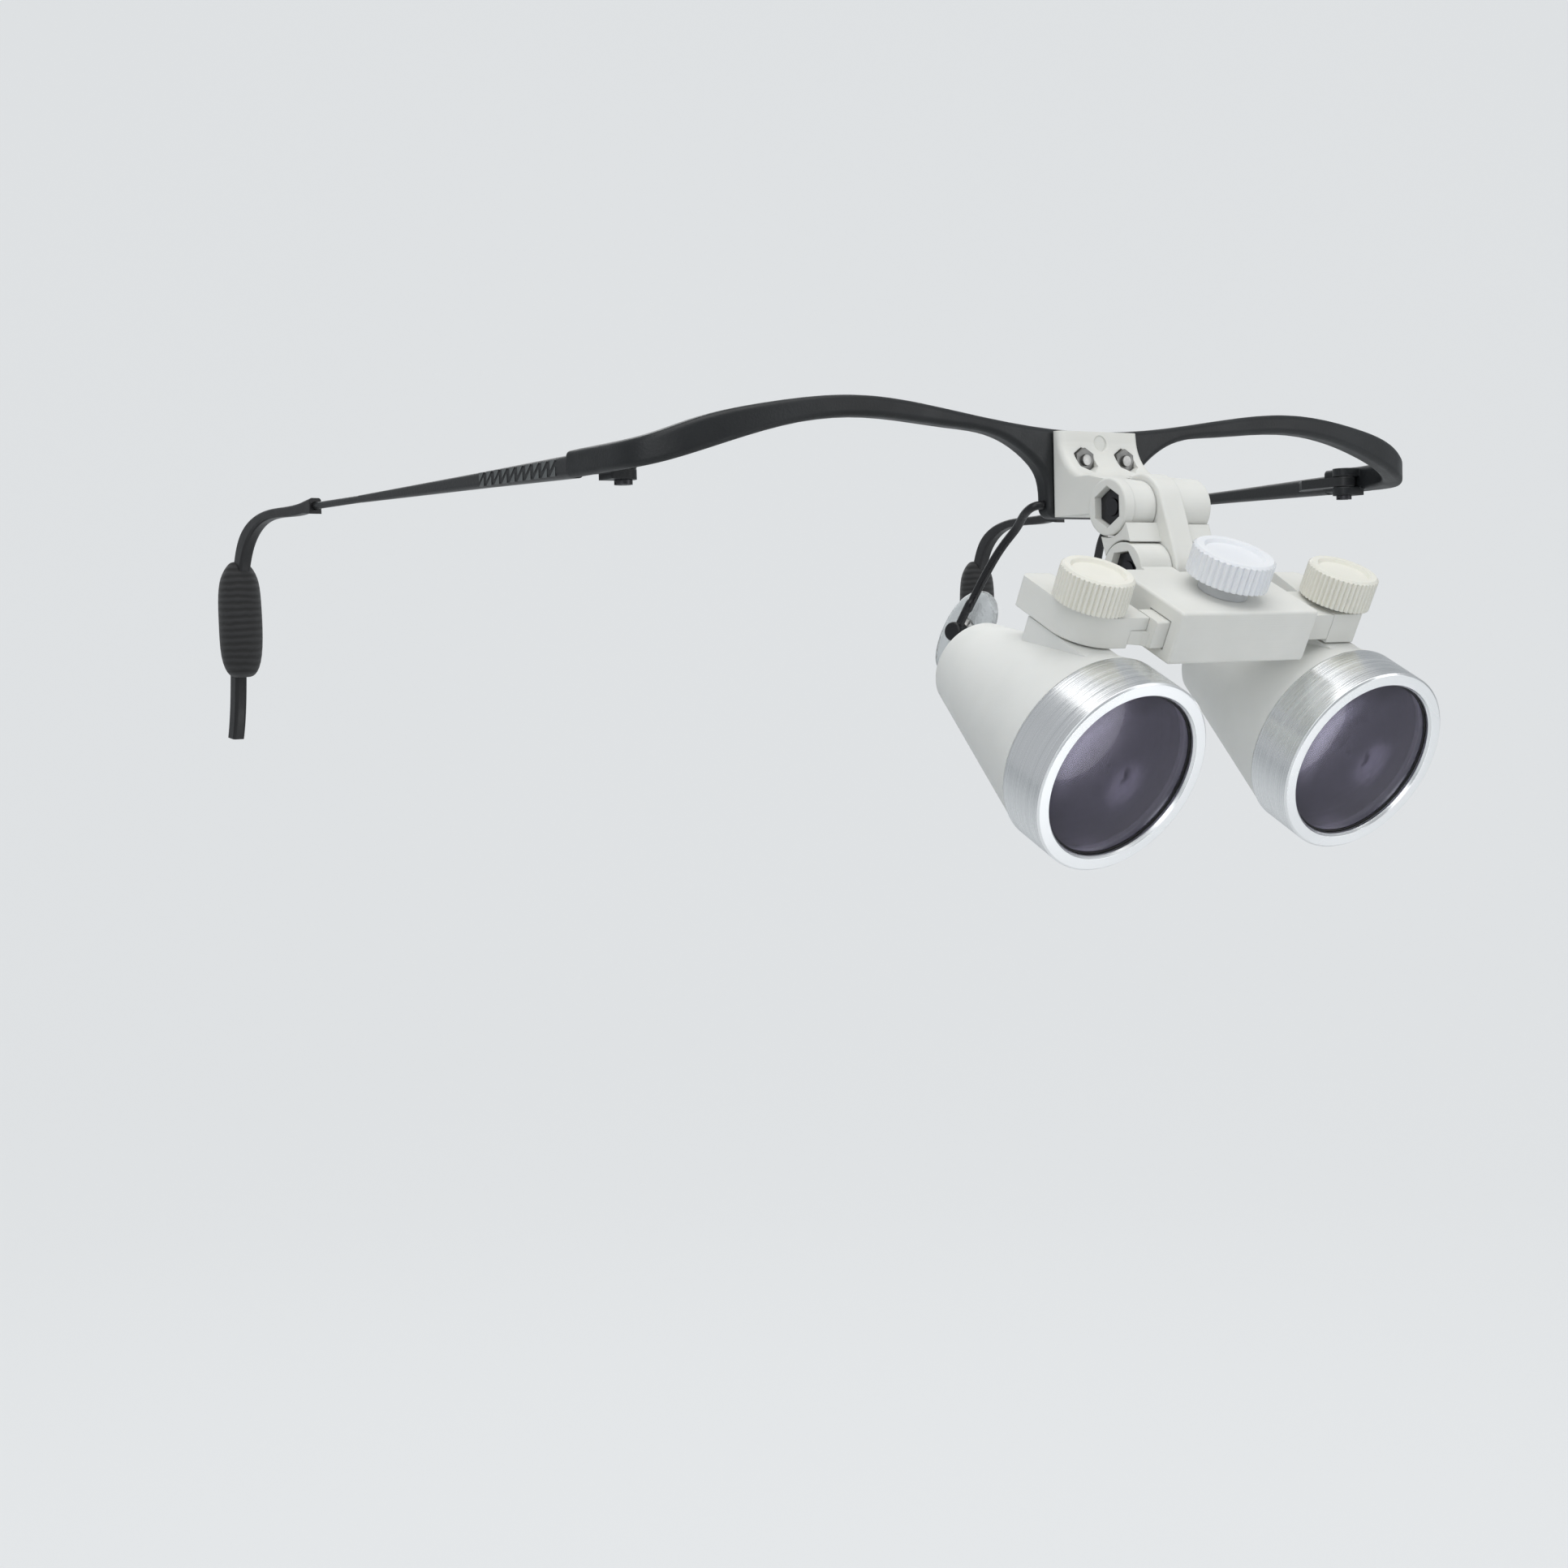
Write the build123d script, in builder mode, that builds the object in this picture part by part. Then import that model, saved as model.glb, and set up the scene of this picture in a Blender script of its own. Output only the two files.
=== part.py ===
from build123d import *
from math import sin, cos, radians, degrees, atan2, sqrt, pi
import os

os.makedirs("parts", exist_ok=True)

# Magnifying loupes worn on a half frame: brow bar, two temples and nose pads,
# with a double hinge that carries two short telescopes on a sliding mount.
# X points to the wearer's left, Y from the face towards the ears, Z up.
# The origin is midway between the two nose pads.

# Clearances
running_gap = 0.06
face_gap = 0.3
slide_gap = 0.12
soft_gap = 0.3
thread_gap = 0.04

# Brow bar
bar_front = -18.0
bar_depth = 3.2
plate_half_width = 8.5
plate_bottom = 17.2
plate_top = 30.2
arch_x = 42.0
arch_top = 34.1
arch_height = 3.0
seam_x = 76.6
seam_y = 5.3
end_top = 27.1
end_height = 3.7
end_thickness = 3.2
bar_edge_round = 0.8

# Temple hinges
hinge_back = 6.6
hinge_radius = 1.9
knuckle_height = 1.6
lug_height = 1.4
hinge_pin_radius = 0.7
hinge_head_radius = 1.3
hinge_head_height = 0.7

# Temples
splay = 4.73
temple_height = 3.3
temple_thickness = 2.9
wire_radius = 0.6
panel_start = 2.6
panel_length = 23.0
taper_length = 66.0
sleeve_start = 83.0
wire_in_sleeve = 12.0
temple_drop = 40.0
bend_run = 32.0
sleeve_thickness = 2.2
grip_length = 21.0
grip_radius = 4.3

# Bracket
bracket_half_width = 7.7
bracket_top = 30.0
bracket_bottom = 17.3
bracket_face = -19.5
web_radius = 4.6
dimple_radius = 1.2
bolt_spacing = 7.8
bolt_height = 25.6
bolt_radius = 0.8
bolt_head_radius = 1.5
bolt_head_height = 0.9
small_nut_width = 3.2
small_nut_height = 1.3
nut_pocket_gap = 0.12

# Double hinge
upper_pivot_y = -30.4
upper_pivot_z = 18.0
link_length = 9.7
link_lean = 18.3
link_radius = 4.85
link_thickness = 4.2
wing_half_length = 8.0
wing_depth = 5.6
ear_outer = 8.2
left_ear_radius = 4.3
right_ear_radius = 3.9
boss_radius = 4.15
boss_length = 1.7
pivot_radius = 1.25
pivot_head_radius = 2.25
pivot_head_height = 1.6
nut_width = 5.0
nut_height = 2.0
nut_recess = 1.2

# Centre block, set out on the tilted plane of the optics:
# x across, b back from the objective faces, n up from their axes
tilt = 26.58
pivot_b = 27.5
pivot_n = 18.15
block_half_width = 12.9
block_front = 8.66
block_back = 23.5
block_bottom = 12.4
block_top = 20.2
block_edge_round = 0.45
lower_ear_radius = 4.0

# Slide bars and their channels
bar_width = 4.4
bar_bottom = 13.95
bar_top = 18.0
front_bar_b = 10.6
bar_web = 0.7
bar_inside = 22.0
channel_end = 2.0
clamp_shoe_radius = 3.5
clamp_shoe_height = 0.9
clamp_shoe_gap = 0.15

# Carriage blocks
carriage_outer = 26.8
carriage_inner = 20.4
carriage_front = 12.2
carriage_back = 27.2
carriage_bottom = 13.4
carriage_top = 17.9
lip_end = 15.3
lip_step = 18.0
lip_bottom = 16.05
tongue_end = 20.9
carriage_wall = 0.9

# Knobs
knob_axis_x = 23.4
knob_axis_b = 16.0
side_knob_radius = 5.25
side_knob_base = 18.6
side_knob_top = 23.4
washer_radius = 3.2
side_flutes = 44
centre_knob_radius = 5.95
centre_knob_base = 22.2
centre_knob_top = 26.4
centre_flutes = 38
flute_depth = 0.32
collar_radius = 3.6
knob_rod_radius = 1.5
rod_in_knob = 2.9
side_rod_end = 11.3
knob_dish = 0.5
knob_rim = 0.35

# Telescopes
converge = 1.55
scope_back = 35.6
bezel_radius = 14.27
bezel_opening = 12.17
bezel_depth = 8.0
bezel_lip = 1.1
front_cone_radius = 14.1
back_radius = 6.5
tube_wall = 1.3
objective_radius = 12.9
objective_edge = 2.6
objective_bulge = 1.5
ocular_radius = 5.1
ocular_edge = 2.3
ocular_dish = 0.7
ocular_ring_width = 0.9
ocular_ring_depth = 1.15
saddle_half_width = 2.9
saddle_front = 9.3
saddle_back = 23.6

# Nose wires and pads
wire_gauge = 0.65
pad_box_radius = 1.5
pad_x = 13.0
pad_y = -0.4
pad_z = 0.8
pad_box_length = 2.6
pad_post_radius = 0.8
pad_length = 14.5
pad_width = 7.6
pad_thickness = 2.4

# Places worked out from the sizes above
sin_t = sin(radians(tilt))
cos_t = cos(radians(tilt))
lean_y = -sin(radians(link_lean))
lean_z = -cos(radians(link_lean))
lower_pivot_y = upper_pivot_y + link_length * lean_y
lower_pivot_z = upper_pivot_z + link_length * lean_z
optics_y = lower_pivot_y - pivot_b * cos_t + pivot_n * sin_t
optics_z = lower_pivot_z - pivot_b * sin_t - pivot_n * cos_t
optics_up = Vector(0, -sin_t, cos_t)
optics_back = Vector(0, cos_t, sin_t)
optics_origin = Vector(0, optics_y, optics_z)


def spot(x, b, n):
    return optics_origin + Vector(x, 0, 0) + optics_back * b + optics_up * n


def deck(n, x=0.0, b=0.0):
    return Plane(origin=spot(x, b, n), x_dir=(1, 0, 0), z_dir=optics_up)


def side_plane(x):
    return Plane(origin=(x, 0, 0), x_dir=(0, 1, 0), z_dir=(1, 0, 0))


def tilted_side_plane(x):
    return Plane(origin=spot(x, 0, 0), x_dir=optics_back, z_dir=(1, 0, 0))


end_bottom = end_top - end_height
end_middle = end_top - end_height / 2
bar_back = bar_front + bar_depth
hinge_x = seam_x - end_thickness - hinge_radius - face_gap
hinge_y = seam_y - hinge_back
knuckle_bottom = end_middle - knuckle_height / 2
lug_gap = slide_gap

def crown(rise, radius):
    # height of a spherical cap above its rim, half way out from the axis
    sphere = (radius * radius + rise * rise) / (2 * rise)
    return rise - sphere + sqrt(sphere * sphere - radius * radius / 4)


# Brow bar: its front view and its plan are crossed, then the edges are eased
elevation_top = [
    (0, plate_top),
    (arch_x - 18, plate_top + (arch_top - plate_top) * 0.56),
    (arch_x, arch_top),
    (arch_x + 15, arch_top - 1.5),
    (seam_x - 9, end_top + 3.1),
    (seam_x + 2.5, end_top),
]
elevation_low = [
    (seam_x + 2.5, end_bottom),
    (seam_x - 8.6, end_bottom + 2.1),
    (arch_x + 14, arch_top - arch_height - 2.0),
    (arch_x, arch_top - arch_height),
    (arch_x - 16, arch_top - arch_height - 0.9),
    (plate_half_width + 7.5, plate_top - 1.6),
    (plate_half_width + 2.0, plate_top - 5.0),
    (plate_half_width, plate_top - 10.5),
]
plan_front = [
    (0, bar_front),
    (arch_x - 17, bar_front + 0.2),
    (arch_x + 3, bar_front - 0.1),
    (seam_x - 16.6, bar_front + 0.7),
    (seam_x - 6.6, bar_front + 3.2),
    (seam_x - 1.5, seam_y - 15.6),
    (seam_x - 0.5, seam_y - 9.8),
    (seam_x, seam_y),
]
plan_back = [
    (seam_x - end_thickness, seam_y),
    (seam_x - end_thickness - 0.5, seam_y - 9.8),
    (seam_x - end_thickness - 1.7, seam_y - 14.3),
    (seam_x - end_thickness - 6.0, bar_back + 2.5),
    (seam_x - 18.0, bar_back + 0.7),
    (arch_x + 3, bar_back - 0.1),
    (arch_x - 17, bar_back + 0.2),
    (0, bar_back),
]
with BuildPart() as brow_bar:
    with BuildSketch(Plane.XZ):
        with BuildLine():
            Spline(*elevation_top, tangents=[(1, 0), (1, 0)])
            Line(elevation_top[-1], elevation_low[0])
            Spline(*elevation_low, tangents=[(-1, 0), (0, -1)])
            Line(elevation_low[-1], (plate_half_width, plate_bottom + 1.6))
            RadiusArc((plate_half_width, plate_bottom + 1.6), (plate_half_width - 1.6, plate_bottom), 1.6)
            Line((plate_half_width - 1.6, plate_bottom), (0, plate_bottom))
            Line((0, plate_bottom), elevation_top[0])
        make_face()
    extrude(amount=40, both=True)
    with BuildSketch(Plane.XY):
        with BuildLine():
            Spline(*plan_front, tangents=[(1, 0), (0.04, 1)])
            Line(plan_front[-1], plan_back[0])
            Spline(*plan_back, tangents=[(-0.04, -1), (-1, 0)])
            Line(plan_back[-1], plan_front[0])
        make_face()
    extrude(amount=60, mode=Mode.INTERSECT)
    long_edges = [e for e in brow_bar.edges() if e.length > 40]
    fillet(long_edges, radius=bar_edge_round)
    mirror(about=Plane.YZ)
    for side in (-1, 1):
        for lug_bottom in (knuckle_bottom - lug_gap - lug_height, knuckle_bottom + knuckle_height + lug_gap):
            with BuildSketch(Plane.XY.offset(lug_bottom)):
                with Locations((side * hinge_x, hinge_y)):
                    Circle(hinge_radius)
                with Locations((side * (hinge_x + hinge_radius * 0.75), hinge_y)):
                    Rectangle(hinge_radius * 1.5, hinge_radius * 2)
            extrude(amount=lug_height)
        with BuildSketch(Plane.XY.offset(end_bottom - 5)):
            with Locations((side * hinge_x, hinge_y)):
                Circle(hinge_pin_radius + thread_gap)
        extrude(amount=end_height + 10, mode=Mode.SUBTRACT)
    with BuildSketch(Plane.XZ.offset(-bar_back - 2)):
        with Locations((-bolt_spacing / 2, bolt_height), (bolt_spacing / 2, bolt_height)):
            Circle(bolt_radius + thread_gap)
    extrude(amount=bar_depth + 4, mode=Mode.SUBTRACT)
brow_bar.part.label = "brow_bar"
export_step(brow_bar.part, "parts/brow_bar.step")

# Hinge screws: slotted heads under the end pieces
with BuildPart() as hinge_screws:
    for side in (-1, 1):
        head_top = knuckle_bottom - lug_gap - lug_height
        with BuildSketch(Plane.XY.offset(head_top - hinge_head_height)):
            with Locations((side * hinge_x, hinge_y)):
                Circle(hinge_head_radius)
        extrude(amount=hinge_head_height)
        with BuildSketch(Plane.XY.offset(head_top)):
            with Locations((side * hinge_x, hinge_y)):
                Circle(hinge_pin_radius)
        extrude(amount=knuckle_height + 2 * lug_gap + 2 * lug_height - 0.2)
        with BuildSketch(Plane.XY.offset(head_top - hinge_head_height)):
            with Locations((side * hinge_x, hinge_y)):
                Rectangle(hinge_head_radius * 3, 0.4)
        extrude(amount=0.35, mode=Mode.SUBTRACT)
hinge_screws.part.label = "hinge_screws"
export_step(hinge_screws.part, "parts/hinge_screws.step")

# Temples: a leaf in the hinge, a tapered shaft with an embossed panel, and a thin end
for side, word in ((-1, "right"), (1, "left")):
    run = Vector(side * sin(radians(splay)), cos(radians(splay)), 0)
    out = Vector(side * cos(radians(splay)), -sin(radians(splay)), 0)
    start = Vector(side * (seam_x - temple_thickness / 2), seam_y + slide_gap, end_middle)
    sections = [
        (0.0, temple_thickness, temple_height),
        (panel_start + panel_length, temple_thickness * 0.72, temple_height * 0.72),
        (taper_length, wire_radius * 2, wire_radius * 2),
        (sleeve_start + wire_in_sleeve, wire_radius * 2, wire_radius * 2),
    ]
    with BuildPart() as temple:
        for s, across, tall in sections[:3]:
            with BuildSketch(Plane(origin=start + run * s, x_dir=out, z_dir=run)):
                RectangleRounded(across, tall, min(across, tall) * 0.34)
        loft(ruled=True)
        with BuildSketch(Plane(origin=start + run * (taper_length - 0.5), x_dir=out, z_dir=run)):
            Circle(wire_radius)
        extrude(amount=sleeve_start + wire_in_sleeve - taper_length + 0.5)
        with BuildSketch(Plane.XY.offset(knuckle_bottom)):
            with Locations((side * hinge_x, hinge_y)):
                Circle(hinge_radius)
            with BuildLine():
                Polyline(
                    (side * (hinge_x - hinge_radius), hinge_y),
                    (side * (hinge_x + hinge_radius - 0.1), hinge_y),
                    (side * (hinge_x + hinge_radius - 0.1), seam_y + slide_gap),
                    (side * (seam_x - 1.0), seam_y + slide_gap),
                    (side * (seam_x - 1.0), seam_y + 6.0),
                    (side * (hinge_x + 1.2), seam_y + 5.2),
                    (side * (hinge_x - hinge_radius), seam_y + 1.5),
                    close=True,
                )
            make_face()
        extrude(amount=knuckle_height)
        with BuildSketch(Plane.XY.offset(end_bottom - 5)):
            with Locations((side * hinge_x, hinge_y)):
                Circle(hinge_pin_radius + running_gap)
        extrude(amount=end_height + 10, mode=Mode.SUBTRACT)
        pitch = panel_length / 10
        for i in range(10):
            shrink = 1 - 0.28 * i / 10
            s = panel_start + pitch * (i + 0.5)
            depth_here = temple_thickness * (1 - 0.28 * s / (panel_start + panel_length)) / 2
            for row in (-1, 1):
                middle = start + run * s + out * (depth_here - 0.25) + Vector(0, 0, row * temple_height * 0.15 * shrink)
                with BuildSketch(Plane(origin=middle, x_dir=run * row, z_dir=out)):
                    Triangle(c=pitch * 0.8, b=pitch * 0.56, a=pitch * 0.56, align=(Align.CENTER, Align.CENTER))
                extrude(amount=0.37)
    temple.part.label = f"temple_{word}"
    export_step(temple.part, f"parts/temple_{word}.step")

    # Tip sleeve: flared mouth, a straight run, then the bend behind the ear
    sleeve_plane = Plane(origin=start, x_dir=run, z_dir=run.cross(Vector(0, 0, 1)))
    bend_s = sleeve_start + bend_run
    upper_edge = [
        (sleeve_start + 3.0, 0.95),
        (sleeve_start + 13.0, 0.55),
        (sleeve_start + 23.0, -0.35),
        (bend_s - 2.5, -3.6),
        (bend_s + 0.9, -10.0),
        (bend_s + 3.4, -24.0),
        (bend_s + 6.0, -temple_drop),
    ]
    lower_edge = [
        (bend_s + 3.2, -temple_drop - 0.4),
        (bend_s + 0.5, -24.0),
        (bend_s - 1.9, -11.0),
        (bend_s - 4.8, -5.6),
        (sleeve_start + 22.0, -2.2),
        (sleeve_start + 12.5, -1.15),
        (sleeve_start + 3.0, -0.95),
    ]
    with BuildPart() as temple_tip:
        with BuildSketch(sleeve_plane):
            with BuildLine():
                Line((sleeve_start, -1.35), (sleeve_start, 1.35))
                Line((sleeve_start, 1.35), upper_edge[0])
                Spline(*upper_edge)
                Line(upper_edge[-1], lower_edge[0])
                Spline(*lower_edge)
                Line(lower_edge[-1], (sleeve_start, -1.35))
            make_face()
        extrude(amount=sleeve_thickness / 2, both=True)
        fillet([e for e in temple_tip.edges() if e.length > 30], radius=0.5)
        with BuildSketch(Plane(origin=start + run * sleeve_start, x_dir=out, z_dir=run)):
            Circle(wire_radius + thread_gap)
        extrude(amount=wire_in_sleeve + 0.3, mode=Mode.SUBTRACT)
    temple_tip.part.label = f"temple_tip_{word}"
    export_step(temple_tip.part, f"parts/temple_tip_{word}.step")

    # Soft ear grip pushed onto the tip: a rounded plug with the tip's own hole
    grip_bottom = -8.0 - grip_length
    grip_s = bend_s + 0.6
    with BuildPart() as ear_grip:
        with BuildSketch(sleeve_plane):
            with BuildLine():
                Polyline(
                    (grip_s, grip_bottom),
                    (grip_s + grip_radius * 0.7, grip_bottom),
                    (grip_s + grip_radius * 0.95, grip_bottom + grip_length * 0.2),
                    (grip_s + grip_radius, grip_bottom + grip_length * 0.55),
                    (grip_s + grip_radius * 0.85, grip_bottom + grip_length * 0.85),
                    (grip_s + grip_radius * 0.45, grip_bottom + grip_length),
                    (grip_s, grip_bottom + grip_length),
                    close=True,
                )
            make_face()
        revolve(axis=Axis(start + run * grip_s, (0, 0, 1)))
        with BuildSketch(sleeve_plane):
            with BuildLine():
                Spline(*[(s + soft_gap, z) for s, z in upper_edge[2:]])
                Line((upper_edge[-1][0] + soft_gap, upper_edge[-1][1]), (lower_edge[0][0] - soft_gap, lower_edge[0][1]))
                Spline(*[(s - soft_gap, z) for s, z in lower_edge[:5]])
                Line((lower_edge[4][0] - soft_gap, lower_edge[4][1]), (upper_edge[2][0] + soft_gap, upper_edge[2][1]))
            make_face()
        extrude(amount=sleeve_thickness / 2 + soft_gap, both=True, mode=Mode.SUBTRACT)
    ear_grip.part.label = f"ear_grip_{word}"
    export_step(ear_grip.part, f"parts/ear_grip_{word}.step")

# Nose wires with their soldered pad boxes, and the soft pads on small posts
for side, word in ((-1, "right"), (1, "left")):
    pad_long = Vector(side * 0.25, 0.57, -0.78).normalized()
    pad_out = Vector(side * 0.93, -0.36, 0.035)
    pad_out = (pad_out - pad_long * pad_out.dot(pad_long)).normalized()
    box_middle = Vector(side * pad_x, pad_y, pad_z)
    box_inner = box_middle - pad_out * (pad_box_length / 2)
    wire_path = [
        (side * (plate_half_width + 0.02), bar_back - 1.6, plate_bottom + 2.0),
        (side * (plate_half_width + 1.5), bar_back + 0.6, plate_bottom + 1.0),
        (side * (plate_half_width + 0.6), bar_back + 3.8, plate_bottom - 0.9),
        (side * (pad_x - 3.0), pad_y - 7.0, pad_z + 11.8),
        (side * (pad_x - 0.6), pad_y - 2.4, pad_z + 3.6),
        (side * pad_x, pad_y - 0.3, pad_z + 0.4),
    ]
    with BuildPart() as nose_wire:
        with BuildLine() as wire_line:
            Spline(*wire_path, tangents=[(side, 0, 0), (side * 0.15, 0.5, -0.85)])
        with BuildSketch(Plane(origin=wire_path[0], z_dir=(side, 0, 0))):
            Circle(wire_gauge)
        sweep()
        with BuildSketch(Plane(origin=box_inner, x_dir=pad_long, z_dir=pad_out)):
            Circle(pad_box_radius)
        extrude(amount=pad_box_length)
        fillet(nose_wire.edges().filter_by(GeomType.CIRCLE).group_by(SortBy.RADIUS)[-1], radius=0.4)
        with BuildSketch(Plane(origin=box_inner, x_dir=pad_long, z_dir=pad_out)):
            Circle(pad_post_radius + running_gap)
        extrude(amount=pad_box_length * 0.6, mode=Mode.SUBTRACT)
    nose_wire.part.label = f"nose_wire_{word}"
    export_step(nose_wire.part, f"parts/nose_wire_{word}.step")

    pad_outer = box_inner - pad_out * face_gap
    with BuildPart() as nose_pad:
        with BuildSketch(Plane(origin=pad_outer, x_dir=pad_long, z_dir=-pad_out)):
            Ellipse(pad_length / 2, pad_width / 2)
        extrude(amount=pad_thickness)
        fillet(nose_pad.edges(), radius=pad_thickness * 0.4)
        with BuildSketch(Plane(origin=pad_outer, x_dir=pad_long, z_dir=pad_out)):
            Circle(pad_post_radius)
        extrude(amount=face_gap + pad_box_length * 0.5)
    nose_pad.part.label = f"nose_pad_{word}"
    export_step(nose_pad.part, f"parts/nose_pad_{word}.step")

# Bracket: face plate, hollow-curved web and two ears for the upper pivot
knuckle_half = link_thickness / 2 + face_gap * 0.6
link_clear = link_radius + face_gap
arm_top = upper_pivot_z + left_ear_radius + 0.6
web_top = arm_top + web_radius + 0.9
web_end = bracket_face - web_radius - 0.9
bracket_back = bar_front - 0.15
with BuildPart() as bracket:
    for side, ear_radius in ((-1, right_ear_radius), (1, left_ear_radius)):
        with BuildSketch(side_plane(0)):
            with BuildLine():
                Line((bracket_back, bracket_bottom), (bracket_back, bracket_top))
                Line((bracket_back, bracket_top), (bracket_face, bracket_top))
                Line((bracket_face, bracket_top), (bracket_face - 0.2, web_top))
                ThreePointArc(
                    (bracket_face - 0.2, web_top),
                    (bracket_face - web_radius * 0.42, arm_top + web_radius * 0.45),
                    (web_end, arm_top),
                )
                Line((web_end, arm_top), (web_end - 0.8, arm_top))
                Line((web_end - 0.8, arm_top), (upper_pivot_y, upper_pivot_z + ear_radius))
                Line((upper_pivot_y, upper_pivot_z + ear_radius), (upper_pivot_y, bracket_bottom))
                Line((upper_pivot_y, bracket_bottom), (bracket_back, bracket_bottom))
            make_face()
            with Locations((upper_pivot_y, upper_pivot_z)):
                Circle(ear_radius)
        extrude(amount=side * bracket_half_width)
    web_edges = bracket.edges().filter_by(lambda e: abs(abs(e.center().X) - bracket_half_width) < 0.01)
    web_edges = web_edges.filter_by(lambda e: e.center().Y < bracket_face + 0.01 and e.center().Z > arm_top + 0.1)
    fillet(web_edges, radius=1.0)
    with BuildSketch(side_plane(-ear_outer)):
        with Locations((upper_pivot_y, upper_pivot_z)):
            Circle(boss_radius)
    extrude(amount=boss_length)
    with BuildSketch(side_plane(bracket_half_width - 0.5)):
        with Locations((upper_pivot_y, upper_pivot_z)):
            Circle(left_ear_radius)
    extrude(amount=ear_outer - bracket_half_width + 0.5)
    fillet(bracket.faces().sort_by(Axis.X)[-1].edges(), radius=0.4)
    fillet(bracket.faces().sort_by(Axis.X)[0].edges(), radius=0.35)
    with BuildSketch(side_plane(-knuckle_half)):
        with Locations((upper_pivot_y, upper_pivot_z)):
            Circle(link_clear)
        with Locations((upper_pivot_y - link_clear, upper_pivot_z)):
            Rectangle(link_clear * 2, link_clear * 2)
        with Locations((upper_pivot_y, upper_pivot_z - link_clear / 2)):
            Rectangle(link_clear * 2, link_clear)
    extrude(amount=2 * knuckle_half, mode=Mode.SUBTRACT)
    with BuildSketch(side_plane(-ear_outer - 1)):
        with Locations((upper_pivot_y, upper_pivot_z)):
            Circle(pivot_radius + running_gap)
    extrude(amount=2 * ear_outer + 2, mode=Mode.SUBTRACT)
    with BuildSketch(side_plane(-ear_outer)):
        with Locations((upper_pivot_y, upper_pivot_z)):
            RegularPolygon(nut_width / 2 + nut_pocket_gap, 6, major_radius=False, rotation=30)
    extrude(amount=nut_recess + nut_height, mode=Mode.SUBTRACT)
    with BuildSketch(side_plane(ear_outer)):
        with Locations((upper_pivot_y, upper_pivot_z)):
            Circle(pivot_head_radius + nut_pocket_gap)
    extrude(amount=-pivot_head_height - 0.4, mode=Mode.SUBTRACT)
    with BuildSketch(Plane.XZ.offset(-bar_front)):
        with Locations((-bolt_spacing / 2, bolt_height), (bolt_spacing / 2, bolt_height)):
            Circle(bolt_radius + thread_gap)
    extrude(amount=6, mode=Mode.SUBTRACT)
    with BuildSketch(Plane.XZ.offset(-bracket_face)):
        with Locations((-bolt_spacing / 2, bolt_height), (bolt_spacing / 2, bolt_height)):
            RegularPolygon(small_nut_width / 2 + nut_pocket_gap, 6, major_radius=False, rotation=30)
    extrude(amount=8, mode=Mode.SUBTRACT)
    with BuildSketch(Plane.XZ.offset(-bracket_face)):
        with Locations((0, (web_top + bracket_top) / 2 - 1.0)):
            Circle(dimple_radius)
    extrude(amount=3, mode=Mode.SUBTRACT)
bracket.part.label = "bracket"
export_step(bracket.part, "parts/bracket.step")

# Bracket screws from behind the bar and their nuts in the face pockets
with BuildPart() as bracket_screws:
    for side in (-1, 1):
        with BuildSketch(Plane.XZ.offset(-bar_back - 0.08 - bolt_head_height)):
            with Locations((side * bolt_spacing / 2, bolt_height)):
                Circle(bolt_head_radius)
        extrude(amount=bolt_head_height)
        with BuildSketch(Plane.XZ.offset(-bar_back - 0.08)):
            with Locations((side * bolt_spacing / 2, bolt_height)):
                Circle(bolt_radius)
        extrude(amount=bar_back + 0.08 - bracket_face + small_nut_height + 0.5)
        with BuildSketch(Plane.XZ.offset(-bar_back - 0.08 - bolt_head_height)):
            with Locations((side * bolt_spacing / 2, bolt_height)):
                RegularPolygon(bolt_radius, 6)
        extrude(amount=bolt_head_height * 0.6, mode=Mode.SUBTRACT)
bracket_screws.part.label = "bracket_screws"
export_step(bracket_screws.part, "parts/bracket_screws.step")

with BuildPart() as bracket_nuts:
    for side in (-1, 1):
        with BuildSketch(Plane.XZ.offset(-bracket_face + 0.02)):
            with Locations((side * bolt_spacing / 2, bolt_height)):
                RegularPolygon(small_nut_width / 2, 6, major_radius=False, rotation=30)
                Circle(bolt_radius + thread_gap, mode=Mode.SUBTRACT)
        extrude(amount=small_nut_height)
bracket_nuts.part.label = "bracket_nuts"
export_step(bracket_nuts.part, "parts/bracket_nuts.step")

# Link between the two pivots: a round-ended arm with a cross wing hollowed for the ears
link_plane = Plane(
    origin=(0, upper_pivot_y, upper_pivot_z),
    x_dir=(0, lean_y, lean_z),
    z_dir=(-1, 0, 0),
)
with BuildPart() as link:
    with BuildSketch(link_plane):
        with Locations((link_length / 2, 0)):
            SlotCenterToCenter(link_length, link_radius * 2)
    extrude(amount=link_thickness / 2, both=True)
    fillet(link.edges().filter_by(lambda e: abs(abs(e.center().X) - link_thickness / 2) < 0.01), radius=0.35)
    for side, upper_ear in ((-1, boss_radius), (1, left_ear_radius)):
        with BuildSketch(link_plane):
            with Locations((link_length / 2, 0)):
                Rectangle(link_length, wing_depth)
            Circle(upper_ear + face_gap, mode=Mode.SUBTRACT)
            with Locations((link_length, 0)):
                Circle(lower_ear_radius + face_gap, mode=Mode.SUBTRACT)
        extrude(amount=-side * wing_half_length)
    with BuildSketch(link_plane):
        with Locations((0, 0), (link_length, 0)):
            Circle(pivot_radius + running_gap)
    extrude(amount=ear_outer, both=True, mode=Mode.SUBTRACT)
link.part.label = "link"
export_step(link.part, "parts/link.step")

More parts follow.
